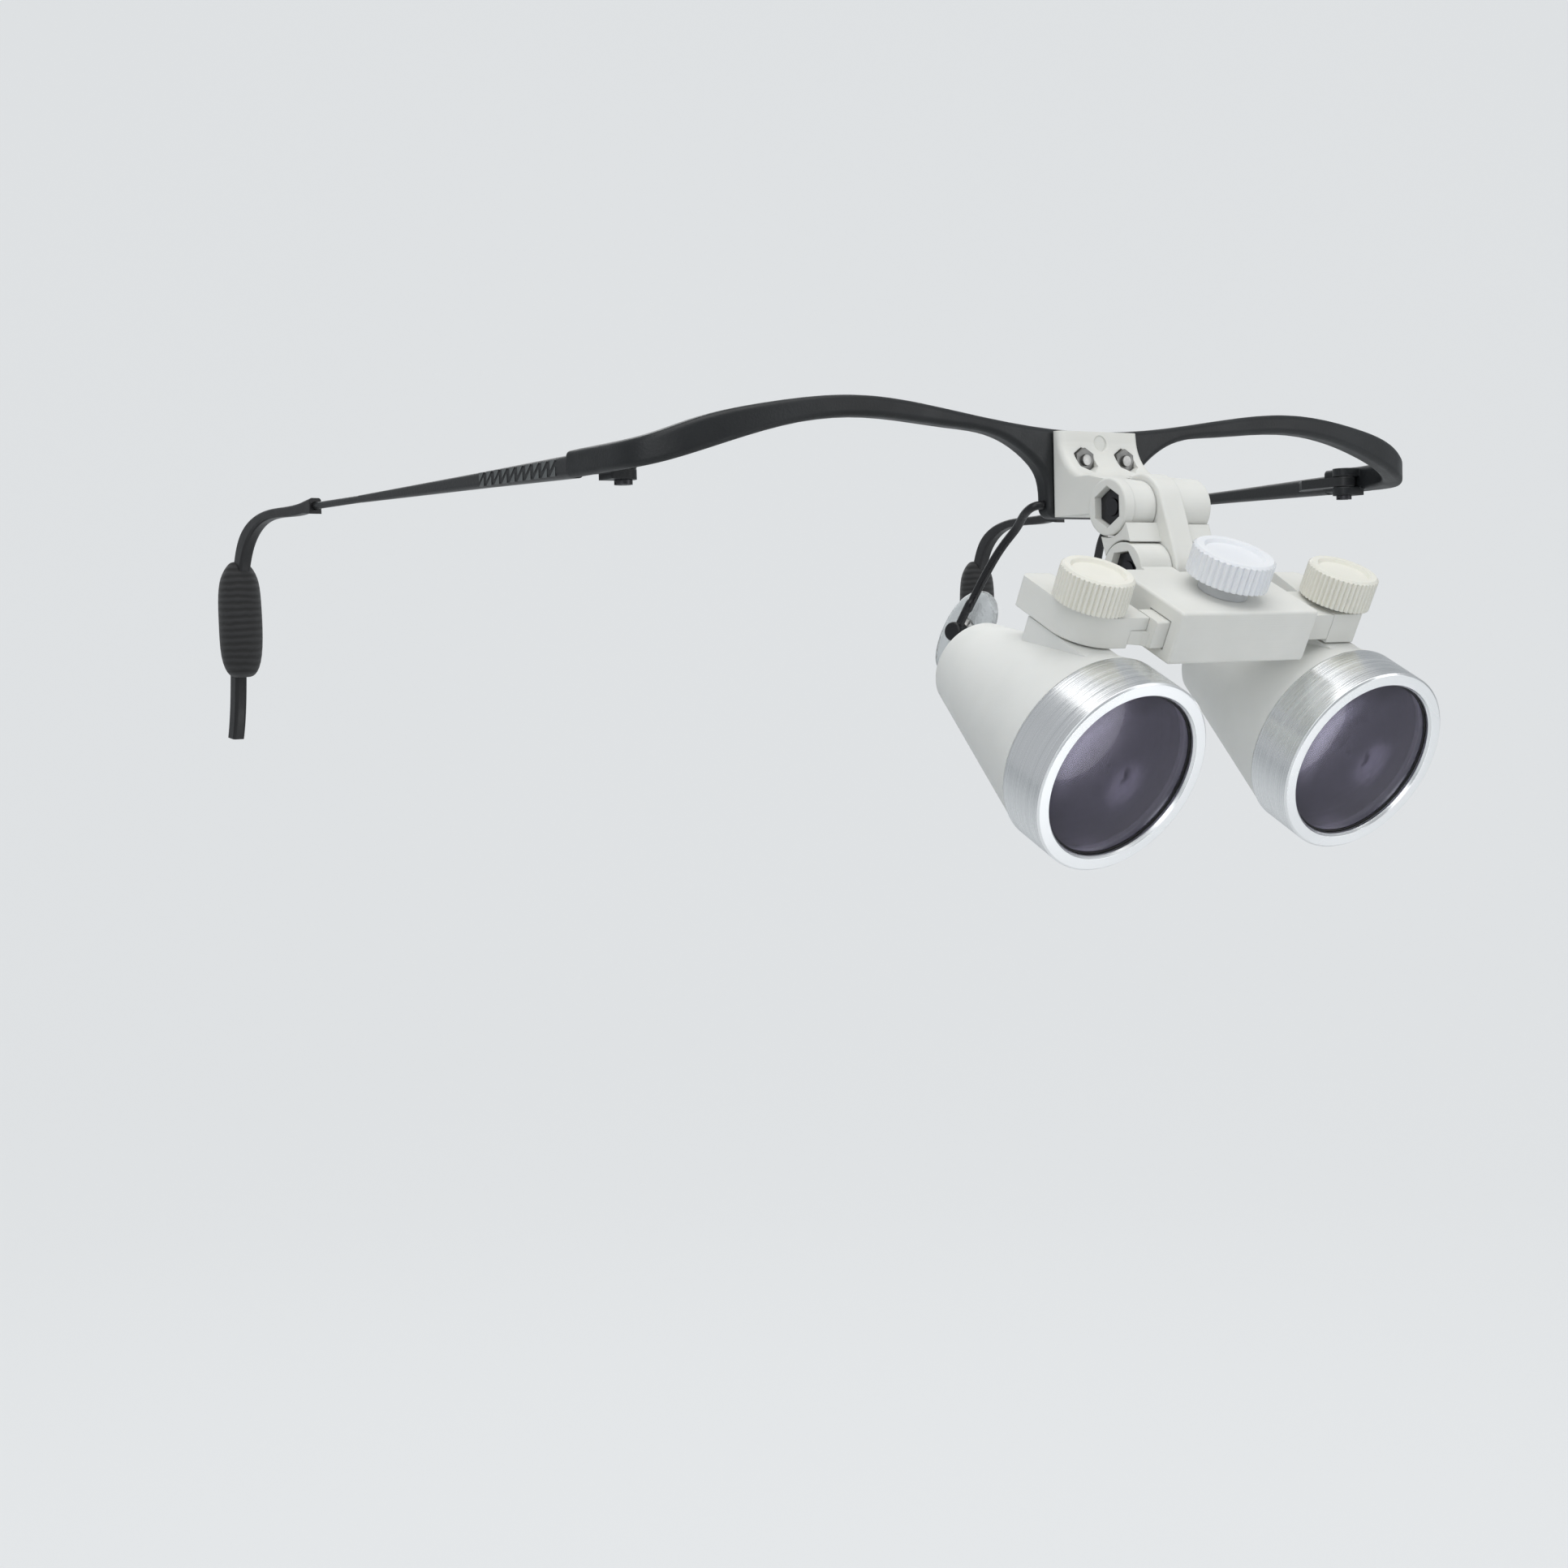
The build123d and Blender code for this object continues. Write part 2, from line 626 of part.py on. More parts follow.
# Centre block: channels for both slide bars, a threaded cap over the shoe, and the lower ears
rear_bar_b = front_bar_b + bar_width + bar_web + 2 * slide_gap
clamp_b = front_bar_b + bar_width + slide_gap + bar_web / 2
shoe_bottom = bar_top + slide_gap + 0.02
shoe_top = shoe_bottom + clamp_shoe_height
bar_reach = bar_inside - block_half_width
with BuildPart() as centre_block:
    with BuildSketch(deck(block_bottom)):
        with Locations((0, (block_front + block_back) / 2)):
            Rectangle(2 * block_half_width, block_back - block_front)
    extrude(amount=block_top - block_bottom)
    fillet(centre_block.edges(), radius=block_edge_round)
    with BuildSketch(tilted_side_plane(-ear_outer)):
        with Locations((pivot_b, pivot_n)):
            Circle(lower_ear_radius)
        with Locations(((block_back - 1 + pivot_b) / 2, (pivot_n - lower_ear_radius + block_top) / 2)):
            Rectangle(pivot_b - block_back + 1, block_top - pivot_n + lower_ear_radius)
    extrude(amount=2 * ear_outer)
    with BuildSketch(tilted_side_plane(-knuckle_half)):
        with Locations((pivot_b, pivot_n)):
            Circle(link_clear)
        with Locations((pivot_b, pivot_n + link_clear / 2)):
            Rectangle(2 * link_clear, link_clear)
        with Locations((pivot_b + link_clear / 2, pivot_n)):
            Rectangle(link_clear, 2 * link_clear)
    extrude(amount=2 * knuckle_half, mode=Mode.SUBTRACT)
    for side, b in ((-1, front_bar_b), (1, rear_bar_b)):
        with BuildSketch(deck(bar_bottom - slide_gap)):
            with Locations((side * (channel_end + 1) / 2, b + bar_width / 2)):
                Rectangle(2 * block_half_width - channel_end + 1, bar_width + 2 * slide_gap)
        extrude(amount=bar_top - bar_bottom + 2 * slide_gap, mode=Mode.SUBTRACT)
    with BuildSketch(deck(bar_top + slide_gap)):
        with Locations((0, clamp_b)):
            Circle(clamp_shoe_radius + slide_gap)
    extrude(amount=clamp_shoe_height + clamp_shoe_gap + 0.05, mode=Mode.SUBTRACT)
    with BuildSketch(deck(bar_top)):
        with Locations((0, clamp_b)):
            Circle(knob_rod_radius + running_gap)
    extrude(amount=block_top - bar_top + 1, mode=Mode.SUBTRACT)
    with BuildSketch(tilted_side_plane(-ear_outer - 1)):
        with Locations((pivot_b, pivot_n)):
            Circle(pivot_radius + running_gap)
    extrude(amount=2 * ear_outer + 2, mode=Mode.SUBTRACT)
    with BuildSketch(tilted_side_plane(-ear_outer)):
        with Locations((pivot_b, pivot_n)):
            RegularPolygon(nut_width / 2 + nut_pocket_gap, 6, major_radius=False, rotation=30)
    extrude(amount=nut_recess + nut_height, mode=Mode.SUBTRACT)
    with BuildSketch(tilted_side_plane(ear_outer)):
        with Locations((pivot_b, pivot_n)):
            Circle(pivot_head_radius + nut_pocket_gap)
    extrude(amount=-pivot_head_height - 0.4, mode=Mode.SUBTRACT)
centre_block.part.label = "centre_block"
export_step(centre_block.part, "parts/centre_block.step")

# Pivot screws and their nuts
for word, home in (("upper", side_plane(0)), ("lower", tilted_side_plane(0))):
    y, z = (upper_pivot_y, upper_pivot_z) if word == "upper" else (pivot_b, pivot_n)
    head_seat = ear_outer - pivot_head_height - 0.4
    nut_seat = -ear_outer + nut_recess + nut_height
    with BuildPart() as pivot_screw:
        with BuildSketch(home.offset(head_seat + 0.03)):
            with Locations((y, z)):
                Circle(pivot_head_radius)
        extrude(amount=pivot_head_height)
        with BuildSketch(home.offset(nut_seat - nut_height - 0.3)):
            with Locations((y, z)):
                Circle(pivot_radius)
        extrude(amount=head_seat - nut_seat + nut_height + 0.4)
        with BuildSketch(home.offset(head_seat + 0.03 + pivot_head_height)):
            with Locations((y, z)):
                RegularPolygon(pivot_radius * 0.85, 6)
        extrude(amount=-pivot_head_height * 0.6, mode=Mode.SUBTRACT)
    pivot_screw.part.label = f"{word}_pivot_screw"
    export_step(pivot_screw.part, f"parts/{word}_pivot_screw.step")
    with BuildPart() as pivot_nut:
        with BuildSketch(home.offset(nut_seat - 0.03)):
            with Locations((y, z)):
                RegularPolygon(nut_width / 2, 6, major_radius=False, rotation=30)
                Circle(pivot_radius + thread_gap, mode=Mode.SUBTRACT)
        extrude(amount=-nut_height)
    pivot_nut.part.label = f"{word}_pivot_nut"
    export_step(pivot_nut.part, f"parts/{word}_pivot_nut.step")

# Clamp shoe, collar and centre knob
with BuildPart() as clamp_shoe:
    with BuildSketch(deck(shoe_bottom)):
        with Locations((0, clamp_b)):
            Circle(clamp_shoe_radius)
    extrude(amount=clamp_shoe_height)
    fillet(clamp_shoe.faces().sort_by(Axis.Z)[-1].edges(), radius=0.2)
clamp_shoe.part.label = "clamp_shoe"
export_step(clamp_shoe.part, "parts/clamp_shoe.step")

with BuildPart() as clamp_collar:
    with BuildSketch(deck(block_top + 0.02)):
        with Locations((0, clamp_b)):
            Circle(collar_radius)
            Circle(knob_rod_radius + running_gap, mode=Mode.SUBTRACT)
    extrude(amount=centre_knob_base - block_top - slide_gap - 0.02)
clamp_collar.part.label = "clamp_collar"
export_step(clamp_collar.part, "parts/clamp_collar.step")


def fluted_knob(base, height, x, b, radius, flutes):
    points = []
    for i in range(flutes):
        turn = 2 * pi / flutes
        for share, r in ((0.0, radius), (0.38, radius), (0.69, radius - flute_depth)):
            angle = turn * (i + share)
            points.append((x + r * cos(angle), b + r * sin(angle)))
    with BuildPart() as knob:
        with BuildSketch(deck(base)):
            with BuildLine():
                Polyline(*points, close=True)
            make_face()
        extrude(amount=height - knob_rim)
        with BuildSketch(deck(base + height - knob_rim)):
            with Locations((x, b)):
                Circle(radius - flute_depth * 0.5)
        extrude(amount=knob_rim, taper=35)
        with BuildSketch(deck(base + height - knob_dish)):
            with Locations((x, b)):
                Circle(radius * 0.7)
        extrude(amount=knob_dish + 0.5, taper=-30, mode=Mode.SUBTRACT)
        with BuildSketch(deck(base)):
            with Locations((x, b)):
                Circle(knob_rod_radius + thread_gap)
        extrude(amount=rod_in_knob, mode=Mode.SUBTRACT)
    return knob.part


clamp_knob = fluted_knob(
    centre_knob_base,
    centre_knob_top - centre_knob_base,
    0,
    clamp_b,
    centre_knob_radius,
    centre_flutes,
)
clamp_knob.label = "clamp_knob"
export_step(clamp_knob, "parts/clamp_knob.step")

with BuildPart() as clamp_screw:
    with BuildSketch(deck(shoe_top + 0.06)):
        with Locations((0, clamp_b)):
            Circle(knob_rod_radius)
    extrude(amount=centre_knob_base + rod_in_knob - 0.1 - shoe_top - 0.06)
    chamfer(clamp_screw.faces().sort_by(Axis.Z)[0].edges(), length=0.3)
clamp_screw.part.label = "clamp_screw"
export_step(clamp_screw.part, "parts/clamp_screw.step")

# Slide bars and carriage blocks
with BuildPart() as slide_bar_right:
    with BuildSketch(deck(bar_bottom)):
        with Locations(((bar_reach - lip_end + 0.05) / 2, front_bar_b + bar_width / 2)):
            Rectangle(bar_reach + lip_end - 0.05, bar_width)
    extrude(amount=bar_top - bar_bottom)
    fillet(slide_bar_right.edges().filter_by(Axis.X), radius=0.3)
    with BuildSketch(deck(bar_bottom)):
        with BuildLine():
            Polyline(
                (-lip_end + 0.6, front_bar_b + 0.4),
                (-lip_end - 0.6, carriage_front - 0.3),
                (-lip_step + 0.05, carriage_front + 0.1),
                (-lip_step + 0.05, carriage_front + carriage_wall + 0.05),
                (-tongue_end, carriage_front + carriage_wall + 0.05),
                (-tongue_end, front_bar_b + bar_width),
                (-lip_end + 0.6, front_bar_b + bar_width),
                close=True,
            )
        make_face()
    extrude(amount=lip_bottom - bar_bottom - 0.05)
slide_bar_right.part.label = "slide_bar_right"
export_step(slide_bar_right.part, "parts/slide_bar_right.step")

left_tongue_b = rear_bar_b + 1.9
with BuildPart() as slide_bar_left:
    with BuildSketch(deck(bar_bottom)):
        with Locations(((carriage_inner - 0.05 - bar_reach) / 2, rear_bar_b + bar_width / 2)):
            Rectangle(bar_reach + carriage_inner - 0.05, bar_width)
    extrude(amount=bar_top - bar_bottom)
    fillet(slide_bar_left.edges().filter_by(Axis.X), radius=0.3)
    with BuildSketch(deck(bar_bottom)):
        with Locations(((block_half_width + face_gap + carriage_inner - 0.05) / 2, (carriage_front + rear_bar_b + bar_width) / 2)):
            Rectangle(carriage_inner - 0.05 - block_half_width - face_gap, rear_bar_b + bar_width - carriage_front)
    extrude(amount=bar_top - bar_bottom - 0.2)
    with BuildSketch(deck(bar_bottom + 0.6)):
        with Locations((carriage_inner + 1.9, (left_tongue_b + rear_bar_b + bar_width) / 2)):
            Rectangle(4.2, rear_bar_b + bar_width - left_tongue_b)
    extrude(amount=2.0)
slide_bar_left.part.label = "slide_bar_left"
export_step(slide_bar_left.part, "parts/slide_bar_left.step")

for side, word, inner, front_corner in ((-1, "right", lip_step, 6.0), (1, "left", carriage_inner, 1.3)):
    with BuildPart() as carriage_block:
        with BuildSketch(deck(carriage_bottom)):
            with BuildLine():
                Polyline(
                    (side * inner, carriage_front),
                    (side * carriage_outer, carriage_front),
                    (side * carriage_outer, carriage_back),
                    (side * (carriage_inner + 1.2), carriage_back),
                    (side * carriage_inner, carriage_back - 6.5),
                    (side * inner, carriage_back - 9.0),
                    close=True,
                )
            make_face()
        extrude(amount=carriage_top - carriage_bottom)
        corner = carriage_block.edges().filter_by(lambda e: e.length < carriage_top - carriage_bottom + 0.1)
        corner = corner.filter_by(lambda e: abs(e.center().X) > carriage_outer - 0.1)
        front_edge = corner.sort_by(Axis.Y)[0]
        back_edge = corner.sort_by(Axis.Y)[-1]
        fillet(front_edge, radius=front_corner)
        fillet(back_edge, radius=1.2)
        if side < 0:
            with BuildSketch(deck(lip_bottom)):
                with Locations((-(lip_end + inner) / 2 - 0.25, (carriage_front + carriage_back - 9.0) / 2)):
                    Rectangle(inner - lip_end + 0.5, carriage_back - 9.0 - carriage_front)
            extrude(amount=carriage_top - lip_bottom)
            with BuildSketch(deck(bar_bottom - 0.05)):
                with BuildLine():
                    Polyline(
                        (-tongue_end - 0.05, carriage_front + carriage_wall),
                        (-lip_step + 1, carriage_front + carriage_wall),
                        (-lip_step + 1, front_bar_b + bar_width + 0.05),
                        (-tongue_end - 0.05, front_bar_b + bar_width + 0.05),
                        close=True,
                    )
                make_face()
            extrude(amount=lip_bottom - bar_bottom + 0.05, mode=Mode.SUBTRACT)
        else:
            with BuildSketch(deck(bar_bottom + 0.55)):
                with Locations((carriage_inner + 1.95, (left_tongue_b + rear_bar_b + bar_width) / 2)):
                    Rectangle(4.3, rear_bar_b + bar_width - left_tongue_b + 0.1)
            extrude(amount=2.1, mode=Mode.SUBTRACT)
        with BuildSketch(deck(carriage_bottom - 1)):
            with Locations((side * knob_axis_x, knob_axis_b)):
                Circle(knob_rod_radius + running_gap)
        extrude(amount=carriage_top - carriage_bottom + 2, mode=Mode.SUBTRACT)
    carriage_block.part.label = f"carriage_block_{word}"
    export_step(carriage_block.part, f"parts/carriage_block_{word}.step")

# Side knobs with their screws and washers, and the telescopes they hold
for side, word in ((-1, "right"), (1, "left")):
    with BuildPart() as side_washer:
        with BuildSketch(deck(carriage_top + 0.02)):
            with Locations((side * knob_axis_x, knob_axis_b)):
                Circle(washer_radius)
                Circle(knob_rod_radius + running_gap, mode=Mode.SUBTRACT)
        extrude(amount=side_knob_base - carriage_top - slide_gap - 0.02)
    side_washer.part.label = f"side_washer_{word}"
    export_step(side_washer.part, f"parts/side_washer_{word}.step")

    side_knob = fluted_knob(
        side_knob_base,
        side_knob_top - side_knob_base,
        side * knob_axis_x,
        knob_axis_b,
        side_knob_radius,
        side_flutes,
    )
    side_knob.label = f"side_knob_{word}"
    export_step(side_knob, f"parts/side_knob_{word}.step")

    with BuildPart() as side_screw:
        with BuildSketch(deck(side_rod_end)):
            with Locations((side * knob_axis_x, knob_axis_b)):
                Circle(knob_rod_radius)
        extrude(amount=side_knob_base + rod_in_knob - 0.1 - side_rod_end)
        chamfer(side_screw.faces().sort_by(Axis.Z)[0].edges(), length=0.3)
    side_screw.part.label = f"side_screw_{word}"
    export_step(side_screw.part, f"parts/side_screw_{word}.step")

    back = (Vector(side * sin(radians(converge)), 0, 0) + optics_back * cos(radians(converge))).normalized()
    across = back.cross(optics_up)
    front = spot(side * knob_axis_x, knob_axis_b, 0) - back * knob_axis_b
    profile_plane = Plane(origin=front, x_dir=back, z_dir=across)
    scope_axis = Axis(front, back)
    lens_front = bezel_lip + 0.15
    lens_back = lens_front + objective_edge
    ocular_front = scope_back - ocular_ring_depth - 0.25 - ocular_edge
    seat = lens_back + 0.3
    slope = (front_cone_radius - back_radius) / (scope_back - bezel_depth)

    with BuildPart() as telescope_body:
        with BuildSketch(profile_plane):
            with BuildLine():
                Polyline(
                    (seat, 0),
                    (seat, objective_radius + 0.3),
                    (bezel_depth + 0.03, objective_radius + 0.3),
                    (bezel_depth + 0.03, front_cone_radius),
                    (scope_back - 0.9, back_radius + slope * 0.9),
                    (scope_back - 0.25, back_radius - 0.2),
                    (scope_back, back_radius - 0.8),
                    (scope_back, 0),
                    close=True,
                )
            make_face()
        revolve(axis=scope_axis)
        with BuildSketch(Plane(origin=front, x_dir=across, z_dir=optics_up)):
            with Locations((0, (saddle_front + saddle_back) / 2)):
                Rectangle(2 * saddle_half_width, saddle_back - saddle_front)
        extrude(amount=carriage_bottom - face_gap)
        with BuildSketch(profile_plane):
            with BuildLine():
                Polyline(
                    (seat - 1, 0),
                    (seat - 1, objective_radius - 0.9),
                    (bezel_depth, objective_radius - 0.9),
                    (ocular_front - 1.4, front_cone_radius - slope * (ocular_front - 1.4 - bezel_depth) - tube_wall),
                    (ocular_front - 0.7, ocular_radius - 0.6),
                    (ocular_front, ocular_radius - 0.6),
                    (ocular_front, ocular_radius + 0.06),
                    (scope_back + 1, ocular_radius + 0.06),
                    (scope_back + 1, 0),
                    close=True,
                )
            make_face()
        revolve(axis=scope_axis, mode=Mode.SUBTRACT)
        with BuildSketch(deck(side_rod_end - 0.1)):
            with Locations((side * knob_axis_x, knob_axis_b)):
                Circle(knob_rod_radius + running_gap)
        extrude(amount=6, mode=Mode.SUBTRACT)
    telescope_body.part.label = f"telescope_body_{word}"
    export_step(telescope_body.part, f"parts/telescope_body_{word}.step")

    with BuildPart() as bezel:
        with BuildSketch(profile_plane):
            with BuildLine():
                Polyline(
                    (0.25, bezel_radius),
                    (bezel_depth - 0.25, bezel_radius),
                    (bezel_depth, bezel_radius - 0.25),
                    (bezel_depth, objective_radius + 0.34),
                    (bezel_lip, objective_radius + 0.34),
                    (bezel_lip, bezel_opening),
                    (0.45, bezel_opening),
                    (0, bezel_opening + 0.3),
                    (0, bezel_radius - 0.25),
                    close=True,
                )
            make_face()
        revolve(axis=scope_axis)
    bezel.part.label = f"bezel_{word}"
    export_step(bezel.part, f"parts/bezel_{word}.step")

    with BuildPart() as objective_lens:
        with BuildSketch(profile_plane):
            with BuildLine():
                Line((lens_front - objective_bulge + 0.6, 0), (lens_back + objective_bulge, 0))
                ThreePointArc(
                    (lens_back + objective_bulge, 0),
                    (lens_back + crown(objective_bulge, objective_radius), objective_radius / 2),
                    (lens_back, objective_radius),
                )
                Line((lens_back, objective_radius), (lens_front, objective_radius))
                ThreePointArc(
                    (lens_front, objective_radius),
                    (lens_front - crown(objective_bulge - 0.6, objective_radius), objective_radius / 2),
                    (lens_front - objective_bulge + 0.6, 0),
                )
            make_face()
        revolve(axis=scope_axis)
    objective_lens.part.label = f"objective_lens_{word}"
    export_step(objective_lens.part, f"parts/objective_lens_{word}.step")

    with BuildPart() as ocular_lens:
        with BuildSketch(profile_plane):
            with BuildLine():
                Line((ocular_front + 0.05 + ocular_dish, 0), (ocular_front + ocular_edge - ocular_dish, 0))
                ThreePointArc(
                    (ocular_front + ocular_edge - ocular_dish, 0),
                    (ocular_front + ocular_edge - crown(ocular_dish, ocular_radius), ocular_radius / 2),
                    (ocular_front + ocular_edge, ocular_radius),
                )
                Line((ocular_front + ocular_edge, ocular_radius), (ocular_front + 0.05, ocular_radius))
                ThreePointArc(
                    (ocular_front + 0.05, ocular_radius),
                    (ocular_front + 0.05 + crown(ocular_dish, ocular_radius), ocular_radius / 2),
                    (ocular_front + 0.05 + ocular_dish, 0),
                )
            make_face()
        revolve(axis=scope_axis)
    ocular_lens.part.label = f"ocular_lens_{word}"
    export_step(ocular_lens.part, f"parts/ocular_lens_{word}.step")

    with BuildPart() as ocular_ring:
        with BuildSketch(profile_plane):
            ring_front = ocular_front + ocular_edge + 0.05
            with BuildLine():
                Polyline(
                    (ring_front, ocular_radius),
                    (ring_front, ocular_radius - ocular_ring_width),
                    (ring_front + ocular_ring_depth, ocular_radius - ocular_ring_width + 0.3),
                    (ring_front + ocular_ring_depth, ocular_radius),
                    close=True,
                )
            make_face()
        revolve(axis=scope_axis)
    ocular_ring.part.label = f"ocular_ring_{word}"
    export_step(ocular_ring.part, f"parts/ocular_ring_{word}.step")
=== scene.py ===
from math import cos, pi, radians, sin

import bmesh
import bpy
from mathutils import Matrix, Vector, noise


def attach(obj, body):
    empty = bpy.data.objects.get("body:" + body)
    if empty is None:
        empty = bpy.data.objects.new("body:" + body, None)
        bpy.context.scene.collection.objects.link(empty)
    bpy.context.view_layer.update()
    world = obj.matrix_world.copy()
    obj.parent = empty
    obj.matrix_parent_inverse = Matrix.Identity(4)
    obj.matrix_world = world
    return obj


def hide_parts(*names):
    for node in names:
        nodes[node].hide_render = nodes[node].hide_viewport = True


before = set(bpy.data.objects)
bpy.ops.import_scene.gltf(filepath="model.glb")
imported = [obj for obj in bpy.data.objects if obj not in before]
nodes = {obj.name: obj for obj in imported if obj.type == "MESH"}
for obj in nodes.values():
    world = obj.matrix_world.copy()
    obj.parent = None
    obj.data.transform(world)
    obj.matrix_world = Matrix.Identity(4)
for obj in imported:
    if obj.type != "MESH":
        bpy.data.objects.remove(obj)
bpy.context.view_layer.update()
scene = bpy.context.scene
MM = 0.001

# Places shared with the solid model, in millimetres
TILT = radians(26.58)
LEAN = radians(18.3)
TOE_IN = radians(1.55)
SPLAY = radians(4.73)
UPPER_PIVOT = Vector((0, -30.4, 18.0))
LINK_REACH = 9.7
PIVOT_BACK = 27.5
PIVOT_UP = 18.15
SCOPE_HALF_SPACING = 23.4
KNOB_BACK = 16.0
TEMPLE_HALF_THICKNESS = 1.45
TEMPLE_START = (76.6 - TEMPLE_HALF_THICKNESS, 5.42, 25.25)
SIDES = ((-1, "right"), (1, "left"))

UP = Vector((0, -sin(TILT), cos(TILT)))
BACK = Vector((0, cos(TILT), sin(TILT)))
LOWER_PIVOT = UPPER_PIVOT - Vector((0, sin(LEAN), cos(LEAN))) * LINK_REACH
ORIGIN = LOWER_PIVOT - BACK * PIVOT_BACK - UP * PIVOT_UP


def spot(x, b, n):
    # x across, b back from the front of the telescopes, n up from their axes
    return ORIGIN + Vector((x, 0, 0)) + BACK * b + UP * n


def scope_axis(side):
    # the middle of a telescope's front, and the direction of its axis
    back = Vector((side * sin(TOE_IN), BACK.y * cos(TOE_IN), BACK.z * cos(TOE_IN))).normalized()
    return spot(side * SCOPE_HALF_SPACING, KNOB_BACK, 0) - back * KNOB_BACK, back


def temple_axes(side):
    # where a temple starts, the way it runs and the way its outer face looks
    x, y, z = TEMPLE_START
    run = Vector((side * sin(SPLAY), cos(SPLAY), 0))
    out = Vector((side * cos(SPLAY), -sin(SPLAY), 0))
    return Vector((side * x, y, z)), run, out


def circle(steps):
    return [(cos(2 * pi * i / steps), sin(2 * pi * i / steps)) for i in range(steps)]


# Materials
def material(name, color, rough, metallic=0.0):
    mat = bpy.data.materials.new(name)
    mat.use_nodes = True
    shader = mat.node_tree.nodes["Principled BSDF"]
    shader.inputs["Base Color"].default_value = (*color, 1)
    shader.inputs["Roughness"].default_value = rough
    shader.inputs["Metallic"].default_value = metallic
    return mat, mat.node_tree, shader


def place(tree):
    return tree.nodes.new("ShaderNodeTexCoord").outputs["Object"]


def grain(tree, scale, detail=3.0, source=None):
    tex = tree.nodes.new("ShaderNodeTexNoise")
    tex.inputs["Scale"].default_value = scale
    tex.inputs["Detail"].default_value = detail
    tree.links.new(source or place(tree), tex.inputs["Vector"])
    return tex.outputs["Fac"]


def along(tree, axis, scale):
    # the distance along an axis, in metres times the scale
    dot = tree.nodes.new("ShaderNodeVectorMath")
    dot.operation = "DOT_PRODUCT"
    dot.inputs[1].default_value = tuple(Vector(axis) * scale)
    tree.links.new(place(tree), dot.inputs[0])
    return dot.outputs["Value"]


def vary(tree, shader, socket, source, low, high):
    # noise seldom leaves 0.3 to 0.7, so that span is drawn out to the two values
    span = tree.nodes.new("ShaderNodeMapRange")
    span.inputs["From Min"].default_value = 0.3
    span.inputs["From Max"].default_value = 0.7
    span.inputs["To Min"].default_value = low
    span.inputs["To Max"].default_value = high
    tree.links.new(source, span.inputs["Value"])
    tree.links.new(span.outputs["Result"], shader.inputs[socket])


def tint(tree, shader, source, dark, light, low=0.35, high=0.65):
    ramp = tree.nodes.new("ShaderNodeValToRGB")
    ramp.color_ramp.elements[0].position = low
    ramp.color_ramp.elements[0].color = (*dark, 1)
    ramp.color_ramp.elements[1].position = high
    ramp.color_ramp.elements[1].color = (*light, 1)
    tree.links.new(source, ramp.inputs["Fac"])
    tree.links.new(ramp.outputs["Color"], shader.inputs["Base Color"])
    return ramp


def relief(tree, shader, source, depth, edge=0.0):
    # fine bumps, over edges that are softened by a small radius
    bump = tree.nodes.new("ShaderNodeBump")
    bump.inputs["Strength"].default_value = 1.0
    bump.inputs["Distance"].default_value = depth
    tree.links.new(source, bump.inputs["Height"])
    if edge:
        bevel = tree.nodes.new("ShaderNodeBevel")
        bevel.samples = 6
        bevel.inputs["Radius"].default_value = edge
        tree.links.new(bevel.outputs["Normal"], bump.inputs["Normal"])
    tree.links.new(bump.outputs["Normal"], shader.inputs["Normal"])


def stretched(tree, axis, fine, coarse):
    # noise drawn out into lines that run across the axis given
    line = tree.nodes.new("ShaderNodeCombineXYZ")
    tree.links.new(along(tree, axis, fine), line.inputs["X"])
    side = Vector(axis).cross(Vector((1, 0, 0))).normalized()
    tree.links.new(along(tree, side, coarse), line.inputs["Y"])
    tree.links.new(along(tree, (1, 0, 0), coarse), line.inputs["Z"])
    return grain(tree, 1.0, 2.0, line.outputs["Vector"])


def moulded(name, dark, light, rough, print_lines=False, edge=0.00022):
    mat, tree, shader = material(name, light, rough)
    shader.inputs["Subsurface Weight"].default_value = 0.12
    shader.inputs["Subsurface Radius"].default_value = (0.0012, 0.001, 0.0008)
    shader.inputs["Subsurface Scale"].default_value = 1.0
    shader.inputs["Specular IOR Level"].default_value = 0.42
    tint(tree, shader, grain(tree, 90.0), dark, light)
    vary(tree, shader, "Roughness", grain(tree, 420.0), rough - 0.05, rough + 0.07)
    if print_lines:
        relief(tree, shader, stretched(tree, UP, 4200.0, 60.0), 0.000018, edge)
    else:
        relief(tree, shader, grain(tree, 5200.0), 0.000014, edge)
    return mat


IVORY = moulded("ivory_moulded", (0.73, 0.73, 0.695), (0.775, 0.775, 0.74), 0.47, True)
BARREL = moulded("barrel_moulded", (0.735, 0.74, 0.715), (0.78, 0.785, 0.76), 0.43)
CREAM = moulded("cream_moulded", (0.79, 0.78, 0.7), (0.84, 0.825, 0.755), 0.4, False, 0.00015)
COOL = moulded("cool_moulded", (0.795, 0.81, 0.84), (0.84, 0.855, 0.88), 0.42, False, 0.00015)
COLLAR = moulded("collar_moulded", (0.52, 0.53, 0.54), (0.6, 0.61, 0.62), 0.45)


def satin_black(name, color, rough, scale, depth, edge=0.0003):
    mat, tree, shader = material(name, color, rough)
    shader.inputs["Specular IOR Level"].default_value = 0.4
    dark = tuple(c * 0.75 for c in color)
    light = tuple(c * 1.3 for c in color)
    tint(tree, shader, grain(tree, 60.0), dark, light)
    vary(tree, shader, "Roughness", grain(tree, 300.0), rough - 0.05, rough + 0.06)
    relief(tree, shader, grain(tree, scale), depth, edge)
    return mat


